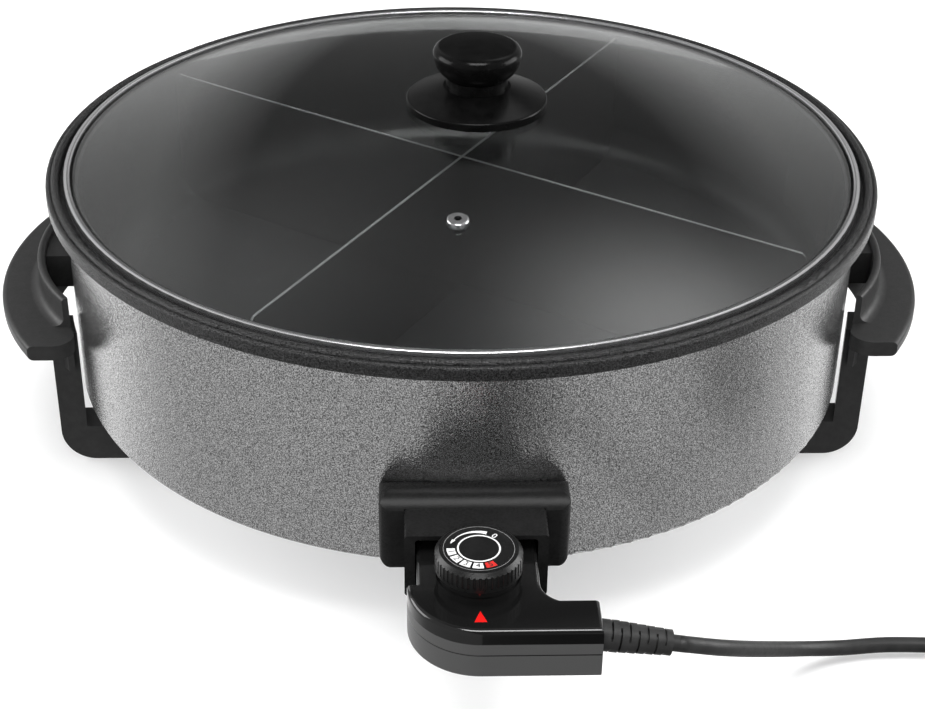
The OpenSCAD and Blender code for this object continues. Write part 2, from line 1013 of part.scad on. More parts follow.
// the neck that enters the socket, its tip rounded seen from the side and from above
module neck_solid() {
    length = neck_back + neck_overlap - neck_tip;
    intersection() {
        translate([0, -neck_tip, 0])
            rotate([90, 0, 0])
                linear_extrude(length)
                    back_section(0);
        translate([-neck_half, -neck_tip - length, neck_under])
            rotate([90, 0, 90])
                linear_extrude(2 * neck_half)
                    rounded_rectangle(length, controller_top_height - neck_under, case_edge);
        translate([-neck_half, -neck_tip - length, 0])
            linear_extrude(rim_height)
                rounded_rectangle(2 * neck_half, length, neck_corner);
    }
}

// everything that is taken out of both halves of the case
module case_cuts() {
    difference() {
        case_solid(case_wall);
        for (place = case_screws)
            translate([place[0], place[1], 0])
                cylinder(h = rim_height, r = case_boss_radius);
        neck_block();
    }
    for (x = [-pin_spread, pin_spread])
        rod_y(x, pin_height, -sleeve_root, -neck_tip + cut, sleeve_radius);
    rod_y(0, probe_height, -probe_root, -neck_tip + cut, probe_radius);
    translate([0, -dial_y, case_split])
        cylinder(h = rim_height, r = spindle_radius + running_gap);
    for (place = case_screws)
        translate([place[0], place[1], 0]) {
            cylinder(h = case_screw_end, r = case_screw_radius);
            cylinder(h = controller_underside + head_height, r = case_head_radius);
        }
    lens_solid();
}

// the solid part behind the neck that clamps the sleeves and the probe
module neck_block() {
    box([-neck_half, -probe_root, 0], [neck_half, -neck_tip, rim_height]);
}

module controller_half(low, high) {
    difference() {
        intersection() {
            union() {
                case_solid(0);
                neck_solid();
                for (step = [0 : collar_steps - 1])
                    translate([0, -dial_y, controller_top_height - cut])
                        cylinder(h = (step + 1) * collar_step_height + cut,
                                 r = collar_radius - step * collar_step_width);
            }
            box([-case_left - cut, -controller_front - cut, low], [case_right + cut, -neck_tip + cut, high]);
        }
        case_cuts();
    }
}

module controller_cover() {
    color([0.03, 0.03, 0.03])
        controller_half(case_split, rim_height);
}

module controller_base() {
    color([0.03, 0.03, 0.03])
        controller_half(0, case_split);
}

module controller_screws() {
    color([0.7, 0.7, 0.72])
        for (place = case_screws)
            translate([place[0], place[1], controller_underside + case_head_sink]) {
                cylinder(h = head_height - case_head_sink, r = case_head_radius);
                cylinder(h = case_screw_end - controller_underside - case_head_sink, r = case_screw_radius);
            }
}

module temperature_probe() {
    color([0.78, 0.78, 0.8])
        rod_y(0, probe_height, -probe_root, -probe_tip, probe_radius);
}

module contact_sleeves() {
    color([0.8, 0.66, 0.35])
        for (x = [-pin_spread, pin_spread])
            difference() {
                rod_y(x, pin_height, -sleeve_root, -neck_tip, sleeve_radius);
                rod_y(x, pin_height, -pin_tip - gap, -neck_tip + cut, pin_radius + gap);
            }
}

module thermostat_unit() {
    low = controller_underside + case_wall;
    color([0.8, 0.78, 0.72])
        translate([-thermostat_size[0] / 2, -dial_y - thermostat_size[1] / 2 - thermostat_shift, low])
            cube(thermostat_size);
}

// the red pointer: a triangle whose tip points at the dial
module lens_solid() {
    translate([0, -lens_y, controller_top_height - lens_depth])
        linear_extrude(lens_depth)
            polygon([[-lens_half, -lens_height / 2], [lens_half, -lens_height / 2], [0, lens_height / 2]]);
}

module pilot_lens() {
    color([0.8, 0.05, 0.04])
        lens_solid();
}

// the strain relief, drooping from the case's end, which cuts its root square; bars join its ribs by turns
module strain_relief() {
    step = (relief_length - relief_collar) / relief_ribs;
    color([0.05, 0.05, 0.05])
        intersection() {
            translate([case_right, -relief_y, relief_z])
                rotate([0, 90 + relief_droop, 0]) {
                    translate([0, 0, -relief_root_depth])
                        cylinder(h = relief_length + relief_root_depth, r = relief_core_radius);
                    translate([0, 0, -relief_root_depth])
                        cylinder(h = relief_collar + relief_root_depth, r = relief_root_radius);
                    for (rib = [0 : relief_ribs - 1]) {
                        part = rib / relief_ribs;
                        radius = relief_root_radius * (1 - part) + relief_tip_radius * part;
                        translate([0, 0, relief_collar + rib * step]) {
                            translate([0, 0, relief_slit * step])
                                cylinder(h = step * (1 - relief_slit), r = radius);
                            intersection() {
                                cylinder(h = step, r = radius);
                                rotate([0, 0, 90 * rib])
                                    translate([-relief_bar / 2, -radius, -cut])
                                        cube([relief_bar, 2 * radius, step]);
                            }
                        }
                    }
                }
            box([case_right, -controller_front, 0], [case_right + 2 * relief_length, 0, rim_height]);
        }
}

// Dial

module dial_grip() {
    color([0.05, 0.05, 0.05])
        translate([0, -dial_y, dial_under])
            difference() {
                rotate_extrude()
                    polygon([[0, 0], [dial_radius, 0], [dial_radius, dial_height - dial_slope],
                             [face_radius + face_border, dial_height], [0, dial_height]]);
                for (groove = [0 : dial_grooves - 1])
                    rotate([0, 0, groove * 360 / dial_grooves])
                        translate([dial_radius + groove_radius / 3, 0, groove_start])
                            cylinder(h = dial_height, r = groove_radius, $fn = 24);
                translate([0, 0, dial_height - face_depth])
                    cylinder(h = face_depth + cut, r = face_radius);
                translate([0, 0, -cut])
                    cylinder(h = dial_height - dial_roof + cut, r = spindle_radius);
            }
}

module dial_face() {
    color([0.1, 0.1, 0.1])
        translate([0, -dial_y, dial_under + dial_height - face_depth])
            cylinder(h = face_depth, r = face_radius);
}

module dial_spindle() {
    low = controller_underside + case_wall + thermostat_size[2] + gap;
    color([0.7, 0.7, 0.72])
        translate([0, -dial_y, low])
            cylinder(h = dial_under + dial_height - dial_roof - low, r = spindle_radius);
}

// Cord

// a point on the smooth curve through four neighbouring route points
function spline_point(a, b, c, d, t) =
    0.5 * (2 * b + (c - a) * t + (2 * a - 5 * b + 4 * c - d) * t * t + (3 * b - a - 3 * c + d) * t * t * t);

function route_at(route, i) = route[max(0, min(len(route) - 1, i))];

// the whole smooth curve, with a number of steps between each two route points
function smooth_route(route, steps) = [
    for (i = [0 : len(route) - 2], s = [0 : steps - 1])
        spline_point(route_at(route, i - 1), route[i], route[i + 1], route_at(route, i + 2), s / steps),
    route[len(route) - 1]
];

function unit(v) = v / norm(v);

function path_direction(path, i) =
    unit(path[min(i + 1, len(path) - 1)] - path[max(i - 1, 0)]);

// the corners of one ring of a tube, square to the path
function tube_ring(middle, direction, radius, sides) =
    let (across = unit(cross([0, 0, 1], direction)), up = cross(direction, across))
    [for (k = [0 : sides - 1])
        middle + radius * (cos(360 * k / sides) * across + sin(360 * k / sides) * up)];

// a tube of even thickness along a path, closed at both ends
module tube(path, radius, sides) {
    rings = len(path);
    points = [for (i = [0 : rings - 1]) each tube_ring(path[i], path_direction(path, i), radius, sides)];
    walls = [
        for (i = [0 : rings - 2], k = [0 : sides - 1])
            let (a = i * sides + k, b = i * sides + (k + 1) % sides)
            each [[a, a + sides, b], [b, a + sides, b + sides]]
    ];
    start_cap = [for (k = [0 : sides - 1]) k];
    end_cap = [for (k = [sides - 1 : -1 : 0]) (rings - 1) * sides + k];
    polyhedron(points = points, faces = concat(walls, [start_cap, end_cap]));
}

// a point of the coil at a turn counted from its start, at a radius and a height
function coil_point(turns, radius, height) = [
    coil_middle[0] + radius * sin(360 * turns),
    coil_middle[1] - radius * cos(360 * turns),
    height
];

// the coil: a spiral in on the table, half a turn climbing inside it, and a spiral out on top
coil_loops = concat(
    [for (i = [0 : coil_turns * coil_steps])
        coil_point(i / coil_steps, coil_outer - coil_pitch * i / coil_steps, coil_low)],
    [for (i = [1 : coil_steps / 2 - 1])
        let (part = 2 * i / coil_steps)
        coil_point(coil_turns + i / coil_steps, coil_inner - coil_pitch / 2 * sin(180 * part),
                   coil_low + (coil_high - coil_low) * (1 - cos(180 * part)) / 2)],
    [for (i = [0 : coil_last_turns * coil_steps])
        coil_point(coil_turns + 0.5 + i / coil_steps, coil_inner + coil_pitch * i / coil_steps, coil_high)]
);
tail = [
    for (part = [0.25 : 0.25 : 1])
        tail_start + [tail_length * part, 0, (plug_axis - coil_high) * (1 - cos(180 * part)) / 2]
];
coil_path = concat([lead_end], coil_loops, tail, [plug_start]);
lead_path = smooth_route(lead_route, lead_steps);

// the least gap between two turns of the coil, for points at least half a turn apart
coil_gap = min([
    for (i = [0 : len(coil_path) - 1], k = [i + coil_steps / 2 : 1 : len(coil_path) - 1])
        norm(coil_path[i] - coil_path[k])
]) - cord_diameter;

function path_length(path) = [for (i = [1 : len(path) - 1]) norm(path[i] - path[i - 1])] *
    [for (i = [1 : len(path) - 1]) 1];

echo(coil_gap = coil_gap, cord_length = path_length(lead_path) + path_length(coil_path));

module cord_lead() {
    color([0.04, 0.04, 0.04])
        tube(lead_path, cord_radius, lead_sides);
}

module cord_coil() {
    color([0.04, 0.04, 0.04])
        tube(coil_path, cord_radius, coil_sides);
}

// a band round the bundle at the back of the coil
module cord_tie() {
    near = coil_inner - cord_radius - tie_gap;
    far = coil_inner + coil_pitch * coil_turns + cord_radius + tie_gap;
    high = coil_high + cord_radius + tie_gap;
    color([0.1, 0.1, 0.1])
        translate([coil_middle[0] - tie_width / 2, coil_middle[1], 0])
            difference() {
                translate([0, near - tie_thickness, 0])
                    cube([tie_width, far - near + 2 * tie_thickness, high + tie_thickness]);
                translate([-cut, near, tie_thickness])
                    cube([tie_width + 2 * cut, far - near, high - tie_thickness]);
            }
}

module plug_body() {
    color([0.05, 0.05, 0.05])
        translate(plug_start)
            difference() {
                rotate([0, 90, 0]) {
                    cylinder(h = plug_sleeve_length, r1 = plug_sleeve_tip, r2 = plug_sleeve_root);
                    translate([0, 0, plug_sleeve_length])
                        cylinder(h = plug_length, r = plug_radius);
                }
                for (side = [0, 180])
                    rotate([side, 0, 0])
                        translate([plug_sleeve_length + plug_length - plug_notch[0], -plug_notch[1] / 2,
                                   plug_radius - plug_notch[2]])
                            cube([plug_notch[0] + cut, plug_notch[1], plug_notch[2] + cut]);
            }
}

module plug_pins() {
    color([0.8, 0.78, 0.7])
        translate(plug_start + [plug_sleeve_length + plug_length, 0, 0])
            for (y = [-plug_pin_spread, plug_pin_spread])
                translate([0, y, 0])
                    rotate([0, 90, 0]) {
                        cylinder(h = plug_pin_length - plug_pin_radius, r = plug_pin_radius);
                        translate([0, 0, plug_pin_length - plug_pin_radius])
                            sphere(plug_pin_radius);
                    }
}

cooking_pan();
outer_shell();
base_plate();
base_screws();
heating_element();
contact_pins();
terminal_block();
probe_sleeve();
socket_guard();
socket_shroud();
guard_screws();
handle_left();
handle_right();
handle_screws();
lid_glass();
lid_ring();
vent_eyelet();
knob_disc();
lid_knob();
knob_seal();
knob_washer();
knob_screw();
divider_first();
divider_second();
controller_cover();
controller_base();
controller_screws();
temperature_probe();
contact_sleeves();
thermostat_unit();
pilot_lens();
strain_relief();
dial_grip();
dial_face();
dial_spindle();
cord_lead();
cord_coil();
cord_tie();
plug_body();
plug_pins();
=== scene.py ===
# %% [markdown]
# A round electric grill pan: a dark coated pan in a grey hammered shell, a domed glass lid, a cross
# divider, two black handles with legs, and a heat controller with a dial and a mains cord. The packed
# solids already have their true shapes and places, so this lesson photographs them: it sets the camera,
# makes the soft and printed pieces that solids can't give, and gives every piece its finish.

# %% Load the frame
import json
import math
import bpy
import numpy as np
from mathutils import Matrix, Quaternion, Vector

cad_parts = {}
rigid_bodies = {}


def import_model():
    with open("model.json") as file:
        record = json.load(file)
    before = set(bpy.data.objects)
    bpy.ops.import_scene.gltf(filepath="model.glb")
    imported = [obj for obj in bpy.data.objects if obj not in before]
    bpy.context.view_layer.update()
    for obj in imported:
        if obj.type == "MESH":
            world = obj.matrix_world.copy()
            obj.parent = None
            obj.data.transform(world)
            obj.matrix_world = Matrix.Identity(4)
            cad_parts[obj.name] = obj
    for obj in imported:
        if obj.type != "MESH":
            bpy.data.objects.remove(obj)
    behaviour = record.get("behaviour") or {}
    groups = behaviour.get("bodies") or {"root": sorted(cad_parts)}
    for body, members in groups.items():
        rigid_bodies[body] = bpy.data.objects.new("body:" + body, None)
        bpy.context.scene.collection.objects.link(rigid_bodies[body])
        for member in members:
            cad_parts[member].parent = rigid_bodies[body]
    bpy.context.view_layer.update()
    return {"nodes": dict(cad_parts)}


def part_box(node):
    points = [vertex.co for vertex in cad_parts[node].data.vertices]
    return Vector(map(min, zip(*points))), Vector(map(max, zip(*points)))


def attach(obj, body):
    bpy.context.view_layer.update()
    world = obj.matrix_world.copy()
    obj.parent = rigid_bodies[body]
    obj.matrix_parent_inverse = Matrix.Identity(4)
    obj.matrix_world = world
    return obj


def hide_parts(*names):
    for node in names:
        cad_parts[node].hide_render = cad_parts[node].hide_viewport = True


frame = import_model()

solids = frame["nodes"]
MM = 0.001

# %% [markdown]
# The camera stands a little left of the front and looks down. A lens is found from the curves of the
# photograph: the lid's ring is a circle of known size, so its ellipse gives the height of the eye, and the
# shell's lower edge gives the distance. A short distance makes the front of the pan swell, and that
# swelling is what was matched here.

# %% Set the camera
CAMERA_PLACE = Vector((-0.02975, -0.85183, 0.54436))
CAMERA_AIM = Vector((-0.00164, -0.08915, 0.080))
CAMERA_ROLL = math.radians(0.798)
SENSOR_WIDTH = 36.0
LENS = 71.04

camera_data = bpy.data.cameras.new("photo_camera")
camera_data.sensor_fit = "HORIZONTAL"
camera_data.sensor_width = SENSOR_WIDTH
camera_data.lens = LENS
camera_data.clip_start = 0.01
camera = bpy.data.objects.new("photo_camera", camera_data)
bpy.context.scene.collection.objects.link(camera)
camera.location = CAMERA_PLACE
camera.rotation_mode = "QUATERNION"
look = (CAMERA_AIM - CAMERA_PLACE).to_track_quat("-Z", "Y")
camera.rotation_quaternion = look @ Quaternion((0, 0, 1), CAMERA_ROLL)
bpy.context.scene.camera = camera
print("camera distance:", round((CAMERA_AIM - CAMERA_PLACE).length, 3))

# %% [markdown]
# Every new piece is a surface: a grid of points from a function of two parameters. The grid's points go
# into a mesh in one call, and its faces are worked out from the grid's shape, so no loop runs over points.
# A grid may be closed along either direction, as a tube is round its girth.

# %% Turn grids into meshes
def grid_faces(rows, columns, close_rows=False, close_columns=False):
    """Corner numbers of a grid's four-sided faces: each point with its neighbours in the next row and column."""
    row = np.arange(rows if close_rows else rows - 1)
    column = np.arange(columns if close_columns else columns - 1)
    row, column = (part.ravel() for part in np.meshgrid(row, column, indexing="ij"))
    next_row = (row + 1) % rows
    next_column = (column + 1) % columns
    corners = [row * columns + column, next_row * columns + column,
               next_row * columns + next_column, row * columns + next_column]
    return np.stack(corners, axis=1)


def make_piece(name, points, faces, body, smooth=True):
    """Puts points and faces into a new mesh object, which rides on a body of the frame."""
    mesh = bpy.data.meshes.new(name)
    mesh.from_pydata(np.asarray(points).tolist(), [], [list(face) for face in faces])
    mesh.polygons.foreach_set("use_smooth", np.full(len(mesh.polygons), smooth))
    mesh.update()
    piece = bpy.data.objects.new(name, mesh)
    bpy.context.scene.collection.objects.link(piece)
    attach(piece, body)
    print(name, "points:", len(mesh.vertices), "faces:", len(mesh.polygons))
    return piece


# %% [markdown]
# The mains lead is a round rubber cord. It leaves the strain relief straight, sinks to the table in one
# slack bend, runs out of the view, and lies there in a tied coil with its plug. A bevelled curve could make
# it, but a circle carried along the route by hand shows how a tube is built, and it keeps the length exact.

# %% Route the cord
CORD_RADIUS = 3.5
COIL_MIDDLE = np.array([300.0, -190.0])
COIL_PITCH = 7.6
COIL_INNER = 30.9
COIL_OUTER = 46.1
COIL_LOW = 5.1
COIL_HIGH = 12.6
PLUG_AXIS = 18.2
TURN_STEPS = 48
TURNS_IN = 2
TURNS_CLIMB = 0.5
TURNS_OUT = 2.5
TAIL_LENGTH = 40.0
TAIL_STEPS = 8
ROUTE_STEPS = 8
RELIEF_ROOT = np.array([49.0, -281.5, 64.0])
RELIEF_LENGTH = 29.3
RELIEF_DROOP = math.radians(9)
RELIEF_WAY = np.array([math.cos(RELIEF_DROOP), 0.0, -math.sin(RELIEF_DROOP)])
LEAD_START = RELIEF_ROOT + RELIEF_LENGTH * RELIEF_WAY
LEAD_END = np.array([293.0, -236.1, 5.1])
STRAIGHT_OUT = np.array([7.0, 0.0, 0.0])
LEAD_ROUTE = np.array([
    LEAD_START, LEAD_START + CORD_RADIUS * RELIEF_WAY, LEAD_START + 2 * CORD_RADIUS * RELIEF_WAY,
    [99, -275, 51], [114, -262, 39], [130, -246, 25], [147, -232, 13], [166, -224, 6.5],
    [190, -221, 5.5], [222, -223, 5.3], [256, -230, 5.3],
    LEAD_END - STRAIGHT_OUT, LEAD_END])


def smooth_route(stations, steps):
    """A curve through all stations: between two of them, a cubic whose slope at each is half the step between
    its neighbours, with the end stations repeated."""
    padded = np.vstack([stations[:1], stations, stations[-1:]])
    before, start, end, after = padded[:-3], padded[1:-2], padded[2:-1], padded[3:]
    part = (np.arange(steps) / steps)[None, :, None]
    before, start, end, after = (row[:, None, :] for row in (before, start, end, after))
    points = 0.5 * (2 * start + (end - before) * part + (2 * before - 5 * start + 4 * end - after) * part ** 2
                    + (3 * start - before - 3 * end + after) * part ** 3)
    return np.vstack([points.reshape(-1, 3), stations[-1:]])


def coil_points(turns, radius, height):
    """Points of a flat coil: each turn is a circle round the coil's middle that starts nearest the front."""
    turn = 2 * np.pi * turns
    flat = COIL_MIDDLE + np.stack([radius * np.sin(turn), -radius * np.cos(turn)], axis=1)
    return np.column_stack([flat, np.broadcast_to(height, turn.shape)])


inward = np.linspace(0, TURNS_IN, TURNS_IN * TURN_STEPS + 1)
climb = np.linspace(0, TURNS_CLIMB, int(TURNS_CLIMB * TURN_STEPS) + 1)[1:-1]
outward = np.linspace(0, TURNS_OUT, int(TURNS_OUT * TURN_STEPS) + 1)
lift = (1 - np.cos(2 * np.pi * climb)) / 2
tail = np.linspace(0, 1, TAIL_STEPS + 1)[1:]
tail_rise = (PLUG_AXIS - COIL_HIGH) * (1 - np.cos(np.pi * tail)) / 2
coil_in = coil_points(inward, COIL_OUTER - COIL_PITCH * inward, COIL_LOW)
coil_climb = coil_points(TURNS_IN + climb, COIL_INNER - COIL_PITCH / 2 * np.sin(2 * np.pi * climb),
                         COIL_LOW + (COIL_HIGH - COIL_LOW) * lift)
coil_out = coil_points(TURNS_IN + TURNS_CLIMB + outward, COIL_INNER + COIL_PITCH * outward, COIL_HIGH)
coil_tail = coil_out[-1] + np.stack([TAIL_LENGTH * tail, np.zeros_like(tail), tail_rise], axis=1)
plug_end = coil_tail[-1:] + STRAIGHT_OUT
lead = smooth_route(LEAD_ROUTE, ROUTE_STEPS)
cord_route = np.vstack([lead, coil_in, coil_climb, coil_out, coil_tail, plug_end]) * MM


# %% Carry a profile along the route
def carry(profile, route):
    """Carries a flat profile along a route. Each point is the route's point, plus the profile's first number
    times the sideways direction (level, across the route), plus its second times the direction square to
    both."""
    along = np.gradient(route, axis=0)
    along = along / np.linalg.norm(along, axis=1, keepdims=True)
    across = np.cross(along, [0.0, 0.0, 1.0])
    across = across / np.linalg.norm(across, axis=1, keepdims=True)
    above = np.cross(across, along)
    return (route[:, None, :] + profile[None, :, :1] * across[:, None, :]
            + profile[None, :, 1:] * above[:, None, :])


CORD_SIDES = 16
around = np.linspace(0, 2 * np.pi, CORD_SIDES, endpoint=False)
cord_profile = CORD_RADIUS * MM * np.stack([np.cos(around), np.sin(around)], axis=1)
cord_grid = carry(cord_profile, cord_route)
cord_count = cord_grid.shape[0]
cord_faces = grid_faces(cord_count, CORD_SIDES, close_columns=True).tolist()
cord_faces.append(list(range(CORD_SIDES)))
cord_faces.append(list(range((cord_count - 1) * CORD_SIDES, cord_count * CORD_SIDES))[::-1])
supply_cord = make_piece("supply_cord", cord_grid.reshape(-1, 3), cord_faces, "controller")
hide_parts("cord_lead", "cord_coil")

# %% [markdown]
# A soft strap ties the coil. It is a flat strip bent round the stacked turns, so it is a small rectangle
# carried round a loop with rounded corners.

# %% Tie the coil
TIE_LOW = 0.6
TIE_HIGH = 17.1
TIE_NEAR = 26.4
TIE_FAR = 50.6
TIE_CORNER = 4.0
TIE_CORNER_STEPS = 8
TIE_HALF_WIDTH = 4.0
TIE_HALF_THICKNESS = 0.6


def rounded_loop(near, far, low, high, corner, steps):
    """A rectangle whose corners are quarter circles, as (across, height) points in order."""
    quarter = np.linspace(0, np.pi / 2, steps)
    middles = np.array([[far - corner, high - corner], [near + corner, high - corner],
                        [near + corner, low + corner], [far - corner, low + corner]])
    turn = quarter[None, :] + np.pi / 2 * np.arange(4)[:, None]
    arcs = middles[:, None, :] + corner * np.stack([np.cos(turn), np.sin(turn)], axis=2)
    return arcs.reshape(-1, 2)


loop = rounded_loop(TIE_NEAR, TIE_FAR, TIE_LOW, TIE_HIGH, TIE_CORNER, TIE_CORNER_STEPS)
loop_next = np.roll(loop, -1, axis=0) - np.roll(loop, 1, axis=0)
loop_out = np.stack([loop_next[:, 1], -loop_next[:, 0]], axis=1)
loop_out = loop_out / np.linalg.norm(loop_out, axis=1, keepdims=True)
strip_sides = np.array([[-1, -1], [1, -1], [1, 1], [-1, 1]])
strip_x = COIL_MIDDLE[0] + TIE_HALF_WIDTH * strip_sides[:, 0]
strip_flat = loop[:, None, :] + TIE_HALF_THICKNESS * strip_sides[None, :, 1:] * loop_out[:, None, :]
tie_grid = np.empty((len(loop), 4, 3))
tie_grid[:, :, 0] = strip_x
tie_grid[:, :, 1] = COIL_MIDDLE[1] + strip_flat[:, :, 0]
tie_grid[:, :, 2] = strip_flat[:, :, 1]
tie_faces = grid_faces(len(loop), 4, close_rows=True, close_columns=True)
coil_strap = make_piece("coil_strap", tie_grid.reshape(-1, 3) * MM, tie_faces, "controller", smooth=False)
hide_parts("cord_tie")

# %% [markdown]
# The dial's top is printed: a ring, a wedge that grows with the heat, white fields with the numbers 1 to 4,
# a red field with the 5, and a 0. Ink could be a painted pattern in the material, but thin raised ink stays
# sharp in every view, so each mark is a patch of a flat ring: a grid over angle and radius, given the
# thickness of ink by Solidify. Angles are in degrees, and radii are shares of the face's radius.

# %% Print the dial
DIAL_MIDDLE = np.array([0.0, -257.0])
FACE_RADIUS = 15.6
INK = 0.05
INK_GAP = 0.02
WHITE_FIELDS = 4
FIELD_START = 190.0
FIELD_STEP = 25.5
FIELD_HALF = 10.4
FIELD_INNER = 0.63
FIELD_OUTER = 0.85
FIELD_STEPS = 12
CIRCLE_STEPS = 97
INNER_RING = (0.53, 0.575)
EDGE_RING = (0.93, 0.943)
WEDGE_START = 71
WEDGE_END = 150
WEDGE_STEPS = 40
WEDGE_OUTER = 0.757
WEDGE_THIN_INNER = 0.733
WEDGE_GROWTH = 0.10
TIP_END = 163
TIP_INNER = (0.70, 0.755)
TIP_OUTER = (0.80, 0.78)
TIP_STEPS = 8
ZERO_TURN = 51
ZERO_RADIUS = 0.70
ZERO_SIZE = 4.2
NUMBER_RADIUS = 0.74
NUMBER_SIZE = 3.9
face_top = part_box("dial_face")[1][2] / MM


def ring_patch(start, end, inner, outer, steps, height):
    """Part of a flat ring: the angle runs from start to end, and the radius from inner to outer, which may each
    be one number or a number for every step."""
    turn = np.radians(np.linspace(start, end, steps))
    both = [np.broadcast_to(share, turn.shape) for share in (inner, outer)]
    radius = FACE_RADIUS * np.stack(both, axis=1)
    points = np.empty((steps, 2, 3))
    points[:, :, 0] = DIAL_MIDDLE[0] + radius * np.cos(turn)[:, None]
    points[:, :, 1] = DIAL_MIDDLE[1] + radius * np.sin(turn)[:, None]
    points[:, :, 2] = height
    return points.reshape(-1, 3) * MM, grid_faces(steps, 2)[:, ::-1]


def digit_patch(text, turn, radius, size, height):
    """A number as a flat mesh, with its foot towards the dial's edge, turned to its place on the ring."""
    letters = bpy.data.curves.new("digit", "FONT")
    letters.body = text
    letters.align_x = "CENTER"
    letters.align_y = "CENTER"
    letters.size = size
    stand_in = bpy.data.objects.new("digit", letters)
    flat = bpy.data.meshes.new_from_object(stand_in)
    points = np.empty(len(flat.vertices) * 3)
    flat.vertices.foreach_get("co", points)
    points = points.reshape(-1, 3)
    faces = [list(face.vertices) for face in flat.polygons]
    bpy.data.objects.remove(stand_in)
    angle = math.radians(turn)
    outward = np.array([math.cos(angle), math.sin(angle)])
    right = np.array([-outward[1], outward[0]])
    middle = DIAL_MIDDLE + FACE_RADIUS * radius * outward
    placed = middle + points[:, :1] * right - points[:, 1:2] * outward
    return np.column_stack([placed, np.full(len(placed), height)]) * MM, faces


def join_patches(patches):
    """Joins patches into one list of points and one of faces. Each patch's corner numbers start where the last
    patch's end."""
    points = np.vstack([patch[0] for patch in patches])
    starts = np.cumsum([0] + [len(patch[0]) for patch in patches[:-1]])
    faces = [[int(corner) + int(start) for corner in face]
             for start, patch in zip(starts, patches) for face in patch[1]]
    return points, faces


def print_marks(name, patches):
    """Joins patches into one printed piece on the dial, as thick as ink."""
    piece = make_piece(name, *join_patches(patches), "dial", smooth=False)
    ink = piece.modifiers.new("ink", "SOLIDIFY")
    ink.thickness = INK * MM
    ink.offset = 1.0
    return piece


def field_patch(turn, height):
    """One field of the scale, centred on an angle."""
    return ring_patch(turn - FIELD_HALF, turn + FIELD_HALF, FIELD_INNER, FIELD_OUTER, FIELD_STEPS, height)


low_ink = face_top + INK_GAP
high_ink = low_ink + INK + INK_GAP
fields = FIELD_START + FIELD_STEP * np.arange(WHITE_FIELDS)
red_turn = FIELD_START + FIELD_STEP * WHITE_FIELDS
wedge_inner = WEDGE_THIN_INNER - WEDGE_GROWTH * (1 - np.linspace(0, 1, WEDGE_STEPS)) ** 1.5
tip_inner, tip_outer = (np.linspace(*ends, TIP_STEPS) for ends in (TIP_INNER, TIP_OUTER))
white_patches = [
    ring_patch(0, 360, *INNER_RING, CIRCLE_STEPS, low_ink),
    ring_patch(WEDGE_START, WEDGE_END, wedge_inner, WEDGE_OUTER, WEDGE_STEPS, low_ink),
    ring_patch(WEDGE_END, TIP_END, tip_inner, tip_outer, TIP_STEPS, low_ink),
    digit_patch("0", ZERO_TURN, ZERO_RADIUS, ZERO_SIZE, low_ink)]
white_patches += [field_patch(turn, low_ink) for turn in fields]
dial_marks = print_marks("dial_marks", white_patches)
number_patches = [digit_patch(str(count + 1), turn, NUMBER_RADIUS, NUMBER_SIZE, high_ink)
                  for count, turn in enumerate([*fields, red_turn])]
dial_numbers = print_marks("dial_numbers", number_patches)
hot_field = print_marks("hot_field", [field_patch(red_turn, low_ink)])
edge_line = print_marks("edge_line", [ring_patch(0, 360, *EDGE_RING, CIRCLE_STEPS, low_ink)])


# %% [markdown]
# Each finish is one shader with patterns on its colour, roughness and relief. All patterns read Object
# coordinates, which are metres here, so a noise of scale 1000 has grains of about a millimetre. Nearly all
# values of a noise lie in the range NOISE. These helpers keep each finish to a few lines.

# %% Helpers for finishes
NOISE = (0.3, 0.7)


def start_finish(name, colour, roughness, metallic=0.0, specular=0.5, coat=0.0):
    """A new material with one shader. Returns it with its node tree, the shader and the place on the object."""
    finish = bpy.data.materials.new(name)
    finish.use_nodes = True
    tree = finish.node_tree
    shader = tree.nodes["Principled BSDF"]
    shader.inputs["Base Color"].default_value = (*colour, 1.0)
    shader.inputs["Roughness"].default_value = roughness
    shader.inputs["Metallic"].default_value = metallic
    shader.inputs["Specular IOR Level"].default_value = specular
    shader.inputs["Coat Weight"].default_value = coat
    place = tree.nodes.new("ShaderNodeTexCoord").outputs["Object"]
    return finish, tree, shader, place


def grain(tree, place, scale, detail=3.0):
    """Cloudy noise from 0 to 1 with that many grains to the metre."""
    noise = tree.nodes.new("ShaderNodeTexNoise")
    noise.inputs["Scale"].default_value = scale
    noise.inputs["Detail"].default_value = detail
    tree.links.new(place, noise.inputs["Vector"])
    return noise.outputs["Fac"]


def between(tree, value, start, end, low=0.0, high=1.0):
    """Maps start..end of a pattern to low..high, and holds it there outside."""
    node = tree.nodes.new("ShaderNodeMapRange")
    for socket, number in (("From Min", start), ("From Max", end), ("To Min", low), ("To Max", high)):
        node.inputs[socket].default_value = number
    tree.links.new(value, node.inputs["Value"])
    return node.outputs["Result"]


def reckon(tree, operation, *values):
    """One step of arithmetic on one, two or three values, each of them a socket or a number."""
    node = tree.nodes.new("ShaderNodeMath")
    node.operation = operation
    for socket, value in zip(node.inputs, values):
        if isinstance(value, (int, float)):
            socket.default_value = value
        else:
            tree.links.new(value, socket)
    return node.outputs["Value"]


def colour_by(tree, shader, factor, dark, light):
    """Colours the surface from dark to light by a factor."""
    ramp = tree.nodes.new("ShaderNodeValToRGB")
    ramp.color_ramp.elements[0].color = (*dark, 1.0)
    ramp.color_ramp.elements[1].color = (*light, 1.0)
    tree.links.new(factor, ramp.inputs["Fac"])
    tree.links.new(ramp.outputs["Color"], shader.inputs["Base Color"])


